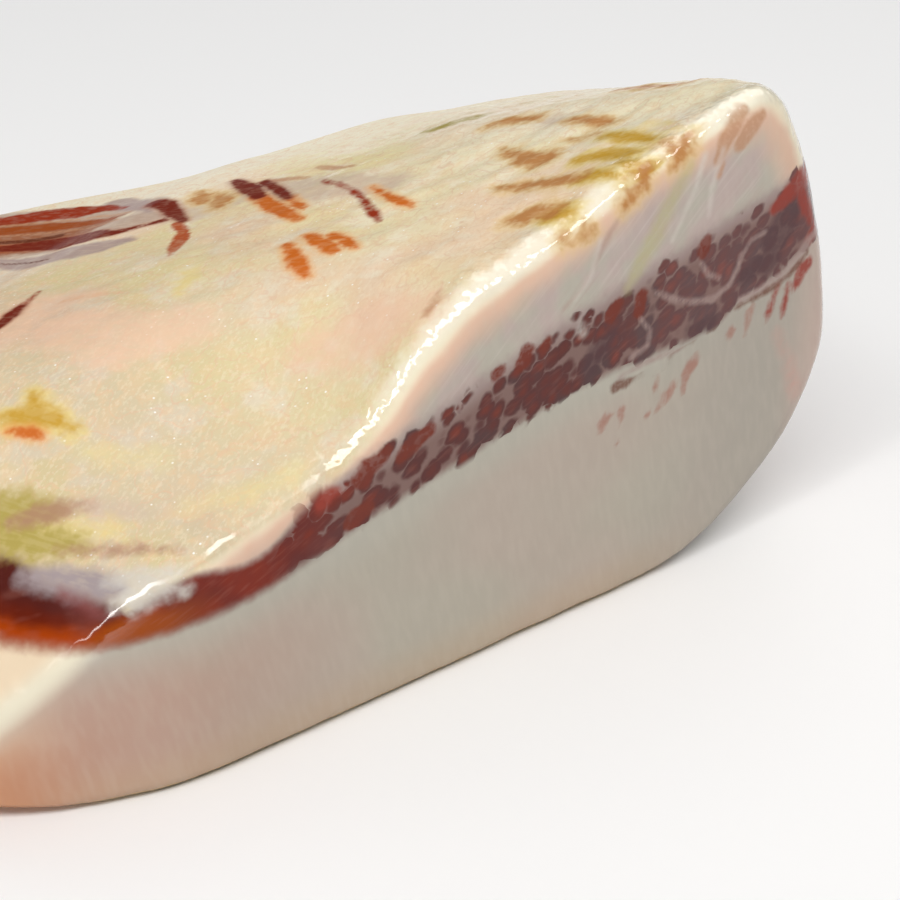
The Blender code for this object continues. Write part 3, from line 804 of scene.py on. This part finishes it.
def lean_edges(points):
    """How far each point lies above the lean's lower edge and below its upper edge."""
    u, v, w = points.T
    front = 1.0 - smooth_step(*FRONT_FADE, v)
    drop = np.interp(u, EDGE_PLACES, EDGE_DROPS, left=0.0) * front
    drop = drop + END_DROP * smooth_step(*END_DROP_BACK, v) * smooth_step(*END_DROP_ALONG, u)
    bite = BITE_DEPTH * np.exp(-((u - BITE_MARK) / BITE_WIDTH) ** 2) * front
    return w - lean_bottom(u, v) + drop, lean_top(u, v) - w - bite


def off_ridge(points):
    """Distance from the edge between the front face and the top: positive on the top."""
    u, v, w = points.T
    return front_depth(u, v) - upper_depth(u, v, w)


def cover_share(points, upward):
    """How surely the pale top covers the lean near the left end."""
    u, v, _ = points.T
    beyond = side_of_line(u, v, COVER_LINE)
    return upward * smooth_step(*COVER_EDGE, beyond) * smooth_step(*COVER_BACK, v)


def add_fields(mesh, points, normals, upward):
    """Stores at each point what the material needs to know: which way it faces, and distances."""
    above_edge, below_edge = lean_edges(points)
    leftward = smooth_step(*END_TURN, -normals[:, 0]) * smooth_step(*END_ALONG, points[:, 0])
    fields = {
        "place": points,
        "lean_up": above_edge,
        "lean_down": below_edge,
        "upward": upward,
        "leftward": leftward,
        "across": smooth_step(*FRONT_TURN, np.abs(normals[:, 1])),
        "off_ridge": off_ridge(points),
        "cover": cover_share(points, upward),
    }
    for name, depth in mark_fields(points, upward).items():
        fields["mark_" + name] = depth
    for name, values in fields.items():
        kind, key = ("FLOAT_VECTOR", "vector") if values.ndim == 2 else ("FLOAT", "value")
        layer = mesh.attributes.new(name, kind, "POINT")
        layer.data.foreach_set(key, values.astype(np.float32).ravel())


def rim_loop(quads):
    """The corners round the opening that the hollow underside leaves, in order."""
    ahead = {}
    for shift in range(4):
        start = quads[:, shift]
        end = quads[:, (shift + 1) % 4]
        ahead.update(dict.fromkeys(zip(start.tolist(), end.tolist())))
    loose = {b: a for a, b in ahead if (b, a) not in ahead}
    first = next(iter(loose))
    loop = [first]
    while loose[loop[-1]] != first:
        loop.append(loose[loop[-1]])
    return loop


def relief(points, upward, front):
    """Height of the fine relief on the slab, in millimetres; the far part is calmer."""
    lobules = waves(points, LOBULE_SIZE)
    swell = waves(points, SWELL_SIZE)
    tight = waves(points, PEBBLE_SIZE)
    near = smooth_step(*CALM_BACK, points[:, 1])
    heights = TOP_LOBULES * lobules + TOP_SWELL * swell + TOP_PEBBLES * tight
    on_top = upward * (CALM_RELIEF + (1.0 - CALM_RELIEF) * near) * heights
    elsewhere = (1.0 - upward) * (SIDE_LOBULES * lobules + SIDE_SWELL * swell)
    return on_top + elsewhere * (1.0 - FRONT_CALM * front)


def slab_object():
    """The whole jowl as one closed mesh with its fields, and how far it moved to stand in the frame."""
    unit, quads = block_lattice()
    points = slab_points(unit)
    normals = outward(points)
    upward = smooth_step(*TOP_TURN, normals[:, 2])
    front = smooth_step(*FRONT_TURN, -normals[:, 1])
    skin = points + normals * relief(points, upward, front)[:, None]
    skin[:, 2] = np.where(points[:, 2] < ON_FLOOR, points[:, 2], np.maximum(skin[:, 2], 0.0))
    centre = (skin.min(axis=0) + skin.max(axis=0)) / 2.0
    shift = np.array((-centre[0], -centre[1], -skin[:, 2].min()))
    faces = quads.tolist()
    faces.append(rim_loop(quads))
    mesh = bpy.data.meshes.new("jowl")
    mesh.from_pydata(((skin + shift) * METRE).tolist(), [], faces)
    mesh.validate()
    mesh.shade_smooth()
    add_fields(mesh, points, normals, upward)
    slab = bpy.data.objects.new("jowl", mesh)
    bpy.context.scene.collection.objects.link(slab)
    return slab, shift


class Nodes:
    """Short calls that add nodes to one material. Each returns an output socket."""

    def __init__(self, tree):
        self.tree = tree

    def put(self, kind, inputs=None, **settings):
        """Adds a node with the given settings and feeds its inputs, by name or number."""
        node = self.tree.nodes.new("ShaderNode" + kind)
        for name, value in settings.items():
            setattr(node, name, value)
        for key, value in (inputs or {}).items():
            self.feed(node.inputs[key], value)
        return node

    def feed(self, socket, value):
        if isinstance(value, bpy.types.NodeSocket):
            self.tree.links.new(value, socket)
        elif isinstance(value, tuple) and len(value) == 3 and socket.type == "RGBA":
            socket.default_value = (*value, 1.0)
        else:
            socket.default_value = value

    def field(self, name, output="Fac"):
        return self.put("Attribute", attribute_name=name).outputs[output]

    def math(self, operation, *values):
        return self.put("Math", dict(enumerate(values)), operation=operation).outputs[0]

    def plus(self, first, second):
        return self.math("ADD", first, second)

    def minus(self, first, second):
        return self.math("SUBTRACT", first, second)

    def times(self, first, second):
        return self.math("MULTIPLY", first, second)

    def scaled(self, value, factor, offset):
        """The value times the factor, plus the offset."""
        return self.math("MULTIPLY_ADD", value, factor, offset)

    def step(self, low, high, value):
        """Nought at low, one at high, smooth between."""
        inputs = {"Value": value, "From Min": low, "From Max": high}
        return self.put("MapRange", inputs, interpolation_type="SMOOTHSTEP").outputs[0]

    def mix(self, share, first, second):
        inputs = {"Factor": share, 6: first, 7: second}
        return self.put("Mix", inputs, data_type="RGBA").outputs[2]

    def layered(self, colour, *layers):
        """The colour under layers of tint, each given by its share, strength and tint."""
        for share, strength, tint in layers:
            colour = self.mix(self.times(share, strength), colour, tint)
        return colour

    def mix_number(self, share, first, second):
        inputs = {0: share, 2: first, 3: second}
        return self.put("Mix", inputs, data_type="FLOAT").outputs[0]

    def turned(self, vector, sizes, turn=(0.0, 0.0, 0.0)):
        """The vector seen from axes turned by the given angles, and measured in the given sizes."""
        inputs = {"Vector": vector, "Rotation": turn, "Scale": sizes}
        return self.put("Mapping", inputs, vector_type="TEXTURE").outputs["Vector"]

    def vector_math(self, operation, first, second):
        node = self.put("VectorMath", {0: first, 1: second}, operation=operation)
        return node.outputs["Value"] if operation == "DOT_PRODUCT" else node.outputs["Vector"]

    def noise(self, vector, size, detail, roughness=0.5, output="Fac"):
        """A noise of about the given size, from 0 to 1."""
        inputs = {"Vector": vector, "Scale": 1.0 / size, "Detail": detail, "Roughness": roughness}
        return self.put("TexNoise", inputs).outputs[output]

    def line(self, noise, width):
        """A thin wandering line, drawn where the noise is within the width of its middle value."""
        return self.step(width, 0.0, self.math("ABSOLUTE", self.minus(noise, 0.5)))

    def cells(self, vector, size):
        return self.put("TexVoronoi", {"Vector": vector, "Scale": 1.0 / size}).outputs

    def split(self, vector):
        return self.put("SeparateXYZ", {0: vector}).outputs

    def bump(self, height, depth):
        """The normal of a surface that rises by the depth, in millimetres, where the height rises by one."""
        return self.put("Bump", {"Height": height, "Distance": depth * METRE}).outputs["Normal"]


class FleshNodes(Nodes):
    """The nodes of the jowl's material, with the places and noises that its parts share."""

    def __init__(self, tree):
        super().__init__(tree)
        self.place = self.field("place", "Vector")
        self.along, self.back, self.height = self.split(self.place)
        self.off_ridge = self.field("off_ridge")
        self.lean_up = self.field("lean_up")
        self.lean_down = self.field("lean_down")
        self.broad = self.noises(BROAD_SIZE, 1.0)
        self.middling = self.noises(MIDDLING_SIZE, 2.0, 0.6)
        self.fine = self.noises(FINE_SIZE, 2.0, 0.6)

    def noises(self, size, detail, roughness=0.5):
        """Three noises that differ, and the colour that holds all three."""
        colour = self.noise(self.place, size, detail, roughness, "Color")
        return (*self.put("SeparateColor", {0: colour}).outputs, colour)


def warped(n, noise, reach):
    """The place pushed about by coloured noise, so that edges drawn with it wander."""
    centred = n.vector_math("SUBTRACT", noise, (0.5, 0.5, 0.5))
    return n.vector_math("ADD", n.place, n.vector_math("MULTIPLY", centred, (reach, reach, reach)))


def top_fat(n):
    """Cream fat of the top: peach and yellow patches, creases, veins and a grainy texture, paler fat at the
    back and to the right, painted shade towards the left, and a painted highlight along the ridge.
    """
    along = n.scaled(n.broad[2], 16.0, n.along)
    back = n.scaled(n.broad[2], 24.0, n.back)
    off = n.scaled(n.plus(n.middling[1], n.fine[0]), 4.0, n.off_ridge)
    grain_and_glint = n.noise(n.turned(n.place, (1.0, 0.6, 1.0), (0.0, 0.0, 0.5)), 0.9, 2.0, 0.6)
    colour = n.layered(
        n.mix(n.step(0.4, 0.62, n.broad[0]), TOP_CREAM, TOP_PEACH),
        (n.step(0.44, 0.64, n.broad[1]), 1.0, TOP_YELLOW),
        (n.step(84.0, 108.0, back), 0.8, TOP_BACK),
        (n.step(0.5, 0.66, n.middling[0]), 0.7, TOP_PALE),
    )
    # Painted shade: the top's colour is darkened towards the left
    left_shaded = n.vector_math("MULTIPLY", colour, LEFT_PAINTED_SHADE)
    return n.layered(
        n.mix(n.step(110.0, 42.0, along), colour, left_shaded),
        (n.step(112.0, 132.0, along), 0.6, TOP_RIGHT),
        (n.line(n.fine[2], 0.035), 0.3, TOP_CREASE),
        (n.line(n.middling[2], 0.02), 0.4, TOP_VEIN),
        (n.step(0.45, 0.62, n.fine[1]), 0.3, TOP_ORANGE),
        (n.step(0.5, 0.66, grain_and_glint), 0.24, GRAIN_LIGHT),
        (n.step(0.46, 0.3, grain_and_glint), 0.18, GRAIN_DARK),
        # Painted highlight: a pale, ragged band along the upper side of the ridge
        (n.times(n.step(9.0, 5.5, off), n.step(60.0, 75.0, n.along)), 0.75, RIDGE_PAINTED_HIGHLIGHT),
    )


def lower_front_fat(n):
    """Greyer fat under the lean, warmer towards the left and the foot, pinker at the right end."""
    warm = n.times(n.step(70.0, 25.0, n.along), n.step(26.0, 14.0, n.height))
    salmon = n.times(n.step(32.0, 14.0, n.along), n.step(17.0, 8.0, n.height))
    return n.layered(
        n.mix(n.step(0.35, 0.65, n.broad[2]), FRONT_GREY, FRONT_ROSY),
        (n.step(-7.0, 0.0, n.lean_up), 1.0, FRONT_UNDER_LEAN),
        (warm, 1.0, FRONT_WARM),
        (n.step(9.0, 1.0, n.height), 0.5, FRONT_FOOT),
        (salmon, 0.6, FRONT_SALMON),
        (n.step(105.0, 135.0, n.along), 1.0, FRONT_RIGHT),
        (n.step(139.0, 150.0, n.along), 1.0, FRONT_END),
    )


def upper_front_fat(n):
    """Fat over the lean: threads of a film, and a peach and a cream band under the ridge."""
    threads = n.noise(n.turned(n.place, (14.0, 6.0, 0.9), (0.0, -FILM_LEAN, 0.0)), 1.0, 2.0, 0.6)
    below = n.scaled(n.middling[2], 3.0, n.off_ridge)
    return n.layered(
        n.mix(n.step(0.4, 0.65, n.middling[1]), FRONT_PINK, FRONT_CREAM),
        (n.step(0.52, 0.7, threads), 0.25, THREAD_LIGHT),
        (n.step(0.46, 0.32, threads), 0.22, THREAD_DARK),
        (n.step(-7.0, -1.5, below), 1.0, RIDGE_PEACH),
        (n.step(-2.0, 1.0, below), 1.0, RIDGE_LIGHT),
    )


def front_fat(n):
    """Fat of the cut front face, with faint strands all over."""
    colour = n.mix(n.step(-1.0, 1.0, n.lean_down), upper_front_fat(n), lower_front_fat(n))
    strands = n.noise(n.turned(n.place, (1.0, 1.0, 3.5), (0.0, -0.2, 0.0)), 1.4, 1.0, 0.65)
    return n.layered(colour, (n.step(0.35, 0.75, strands), 0.09, STRANDS))


def end_fat(n):
    """Warm cream fat of the left end, salmon at its foot, with a painted highlight whitening its near edge.
    """
    height = n.scaled(n.broad[0], 8.0, n.height)
    colour = n.mix(n.step(20.0, 8.0, height), END_CREAM, END_SALMON)
    # Painted highlight: the near edge of the left end is whitened
    edge_highlight = n.step(3.6, 0.6, n.math("ABSOLUTE", n.off_ridge))
    return n.layered(colour, (edge_highlight, 0.7, END_EDGE_HIGHLIGHT))


def lean_bundles(n):
    """Bundles of lean seen end on.

    Gives the distance from the bundle's middle, how far the middle lies above the point, and chance.
    """
    sizes = (BUNDLE_LONG, BUNDLE_DEEP, BUNDLE_WIDE)
    fibre = n.turned(warped(n, n.fine[3], 1.2), sizes, (0.0, -BUNDLE_LEAN, 0.0))
    bundle = n.cells(fibre, 1.0)
    slope = LEAN_RISE + LEAN_GROWTH
    long_rise = BUNDLE_LONG * (math.sin(BUNDLE_LEAN) - slope * math.cos(BUNDLE_LEAN))
    wide_rise = BUNDLE_WIDE * (math.cos(BUNDLE_LEAN) + slope * math.sin(BUNDLE_LEAN))
    to_middle = n.vector_math("SUBTRACT", bundle["Position"], fibre)
    climb = n.vector_math("DOT_PRODUCT", to_middle, (long_rise, 0.0, wide_rise))
    return bundle["Distance"], climb, n.split(bundle["Color"])


def lean_share(n):
    """Where the lean shows, and the haze between its bundles.

    On a face cut across the fibres, a bundle is lean when its middle is in the layer.
    """
    distance, climb, chance = lean_bundles(n)
    uncovered = n.minus(1.0, n.field("cover"))
    wander = n.minus(n.fine[0], 0.5)
    middle_depth = n.minus(n.lean_down, climb)
    ragged = n.scaled(chance[0], 2.6, -1.6)
    over_edge = n.times(n.step(0.2, 0.5, n.plus(n.lean_up, climb)), n.step(-1.0, 0.6, n.lean_up))
    bundled = n.times(n.step(-0.1, 0.1, n.plus(middle_depth, ragged)), over_edge)
    low = n.step(-1.2, 1.2, n.scaled(wander, 0.9, n.lean_up))
    plain = n.times(low, n.step(-0.9, 0.8, n.plus(wander, n.lean_down)))
    solid = n.step(62.0, 48.0, n.along)
    cut = n.times(n.field("across"), n.minus(1.0, solid))
    within = n.times(n.mix_number(cut, plain, bundled), uncovered)
    size = n.scaled(n.step(1.0, 6.0, middle_depth), 0.2, 0.46)
    size = n.scaled(n.minus(n.middling[1], 0.5), 0.3, size)
    size = n.scaled(solid, 0.6, size)
    meat = n.step(0.15, -0.1, n.minus(distance, size))
    foot = n.step(-0.4, 1.6, n.plus(n.lean_up, wander))
    soft_edge = n.step(-2.0, 1.0, n.scaled(wander, 2.0, n.lean_down))
    haze = n.mix_number(solid, n.times(foot, soft_edge), plain)
    return n.times(within, meat), n.times(haze, uncovered), distance, chance[1]


def cut_lean(n, distance, chance):
    """Colour of the lean where it is cut: dark bundles, redder to the left and greyer to the right."""
    left = n.mix(n.step(0.35, 0.65, n.middling[1]), LEAN_LEFT, LEAN_DARK_LEFT)
    return n.layered(
        n.mix(chance, LEAN_CORE, LEAN_DARK_CORE),
        (n.step(0.15, 0.55, distance), 1.0, LEAN_RIM),
        (n.step(0.48, 0.66, n.middling[2]), 1.0, LEAN_PURPLE),
        (n.step(70.0, 45.0, n.along), 0.8, left),
        (n.step(95.0, 125.0, n.along), 0.3, LEAN_GREY),
    )


def end_lean(n, lift, cut):
    """Colour of the lean on the slopes of the left end: redder at its foot, darker upwards."""
    bare = n.mix(n.step(1.1, 3.0, lift), BARE_FOOT, BARE_MIDDLE)
    bare = n.mix(n.step(2.8, 4.6, lift), bare, BARE_TOP)
    left_end = n.times(n.step(60.0, 46.0, n.along), n.step(75.0, 35.0, n.back))
    return n.mix(left_end, cut, bare)


def add_lean(n, colour):
    """The lean over the fat, with a haze of both between its bundles."""
    share, haze, distance, chance = lean_share(n)
    lift = n.scaled(n.middling[0], 2.4, n.minus(n.lean_up, 1.2))
    red = cut_lean(n, distance, chance)
    near_left = n.times(n.step(44.0, 33.0, n.along), n.step(60.0, 25.0, n.back))
    red = n.mix(n.times(near_left, n.step(5.0, 2.0, lift)), red, LEAN_FOOT)
    red = n.mix(n.field("across"), end_lean(n, lift, red), red)
    streaks = n.noise(n.turned(n.place, (5.0, 10.0, 1.0), (0.0, -0.45, 0.0)), 0.7, 1.0, 0.6)
    red = n.layered(red, (n.step(0.5, 0.75, streaks), 0.16, LEAN_STREAK))
    gap = n.mix(n.step(0.0, 4.0, n.lean_down), GAP_LIGHT, GAP_DARK)
    return n.layered(colour, (haze, 0.85, gap), (share, 1.0, red))


def add_marks(n, colour):
    """Stains over the fat and the lean, and a painted sheen over the lean at the left end, one kind after
    another.
    """
    fibres = n.noise(n.turned(n.place, (1.0, 8.0, 1.0), (0.0, 0.0, 0.45)), 0.7, 1.0, 0.6)
    patchy = n.scaled(n.step(0.8, 1.12, n.plus(fibres, n.fine[1])), 0.18, 0.86)
    for number, (name, tint, softness, ragged, strength, growth) in enumerate(MARK_LOOKS):
        reach = MARK_WANDER * ragged
        wander = n.scaled(n.fine[number % 3], reach, growth - reach / 2.0)
        depth = n.plus(n.field("mark_" + name), wander)
        share = n.times(n.step(-softness, softness, depth), n.times(patchy, strength))
        colour = n.mix(share, colour, tint)
    return colour


def add_rind(n, colour):
    """The thin yellow-brown skin line round the foot, and the skin underneath."""
    height = n.scaled(n.fine[1], 1.2, n.height)
    return n.mix(n.step(2.0, 1.0, height), colour, RIND)


def ridge_share(n):
    """How near a place is to the edge between the top and the front face, mostly on its upper side."""
    return n.times(n.step(-2.5, 0.0, n.off_ridge), n.step(9.0, 3.0, n.off_ridge))


def ridge_wetness(n):
    """How wet the ridge is along its length: nearly dry on one stretch, apart from a short dash."""
    dash = n.times(n.step(41.2, 42.2, n.along), n.step(46.0, 45.0, n.along))
    wet = n.math("MAXIMUM", n.step(36.5, 34.0, n.along), n.step(55.0, 62.0, n.along))
    wet = n.times(n.math("MAXIMUM", wet, dash), n.step(24.0, 27.5, n.along))
    return n.mix_number(wet, *RIDGE_WETNESS)


def wetness(n):
    """How wet the skin is: most along the ridge, less over the top, least at the back and on the cuts."""
    top = n.mix_number(n.step(60.0, 90.0, n.back), *TOP_WETNESS)
    top = n.mix_number(n.step(34.0, 28.0, n.along), top, LEFT_WETNESS)
    elsewhere = n.mix_number(n.field("upward"), CUT_WETNESS, top)
    return n.mix_number(ridge_share(n), elsewhere, ridge_wetness(n))


def wet_normal(n):
    """The wet film over everything: gentle pebbles, and rough ripples along the ridge."""
    calm = n.mix_number(n.step(50.0, 100.0, n.back), 1.0, 0.3)
    pebbles = n.times(n.noise(n.place, 2.2, 1.0), calm)
    rough = n.mix_number(n.step(40.0, 66.0, n.along), 0.3, 4.0)
    ripples = n.times(n.noise(n.place, 1.8, 1.0, 0.65), n.times(ridge_share(n), rough))
    return n.bump(n.plus(pebbles, ripples), FILM_DEPTH)


def add_glints(n, colour):
    """Painted glints of moisture: tiny white specks painted into the colour, in clusters over the top."""
    glint_cells = n.cells(n.place, GLINT_SPACING)
    clusters = n.scaled(n.noise(n.place, GLINT_CLUSTERS, 0.0), 1.6, n.split(glint_cells["Color"])[0])
    # Painted glints: a white speck near the middle of each chosen cell
    grain_and_glint = n.times(n.step(0.2, 0.08, glint_cells["Distance"]), n.step(1.55, 1.75, clusters))
    on_top = n.times(n.field("upward"), n.minus(0.85, n.field("leftward")))
    return n.mix(n.math("MAXIMUM", n.times(grain_and_glint, on_top), 0.0), colour, GLINT)


def new_material(name):
    """A new material and its shader."""
    material = bpy.data.materials.new(name)
    material.use_nodes = True
    return material, material.node_tree.nodes["Principled BSDF"]


def jowl_material():
    material, shader = new_material("jowl")
    n = FleshNodes(material.node_tree)
    colour = n.mix(n.field("upward"), front_fat(n), top_fat(n))
    colour = n.mix(n.field("leftward"), colour, end_fat(n))
    # Painted glints over the top
    colour = add_glints(n, colour)
    colour = add_lean(n, colour)
    colour = add_marks(n, colour)
    colour = add_rind(n, colour)
    n.feed(shader.inputs["Base Color"], colour)
    n.feed(shader.inputs["Coat Normal"], wet_normal(n))
    n.feed(shader.inputs["Coat Weight"], wetness(n))
    shader.inputs["Roughness"].default_value = FLESH_ROUGHNESS
    shader.inputs["Specular IOR Level"].default_value = FLESH_SHINE
    shader.inputs["Coat Roughness"].default_value = FILM_ROUGHNESS
    shader.inputs["Coat IOR"].default_value = FILM_IOR
    return material


def add_camera(shift):
    data = bpy.data.cameras.new("camera")
    data.lens = CAMERA_LENS
    data.clip_start = CAMERA_CLIP
    camera = bpy.data.objects.new("camera", data)
    camera.location = (np.array(CAMERA_PLACE) + shift) * METRE
    camera.rotation_euler = (math.pi / 2.0 - CAMERA_FALL, 0.0, -CAMERA_HEADING)
    bpy.context.scene.collection.objects.link(camera)
    bpy.context.scene.camera = camera


def add_floor():
    bpy.ops.mesh.primitive_plane_add(size=FLOOR_SIZE, location=(0.0, 0.0, -FLOOR_GAP))
    floor = bpy.context.active_object
    floor.name = "floor"
    material, shader = new_material("floor")
    shader.inputs["Base Color"].default_value = (*FLOOR_COLOUR, 1.0)
    shader.inputs["Roughness"].default_value = FLOOR_ROUGHNESS
    floor.data.materials.append(material)


def add_light(name, direction, distance, sides, power, colour):
    """A soft box that looks at the slab; its first side lies level."""
    data = bpy.data.lights.new(name, "AREA")
    data.shape = "RECTANGLE"
    data.size, data.size_y = sides
    data.energy = power
    data.color = colour
    light = bpy.data.objects.new(name, data)
    direction = Vector(direction).normalized()
    light.location = direction * distance
    light.rotation_euler = direction.to_track_quat("Z", "Y").to_euler()
    bpy.context.scene.collection.objects.link(light)


def add_world():
    """A studio that is dark near the horizon and bright overhead."""
    world = bpy.data.worlds.new("world")
    world.use_nodes = True
    n = Nodes(world.node_tree)
    background = world.node_tree.nodes["Background"]
    heading = n.put("TexCoord").outputs["Generated"]
    climb = n.step(*WORLD_CLIMB, n.split(heading)[2])
    n.feed(background.inputs["Color"], n.mix(climb, WORLD_LOW, WORLD_HIGH))
    background.inputs["Strength"].default_value = WORLD_STRENGTH
    bpy.context.scene.world = world


def main():
    slab, shift = slab_object()
    slab.data.materials.append(jowl_material())
    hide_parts("outer_fat", "lean_layer", "inner_fat")
    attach(slab, "root")
    add_camera(shift)
    add_floor()
    for light in LIGHTS:
        add_light(*light)
    add_world()
    bpy.context.scene.view_settings.view_transform = "Standard"


main()
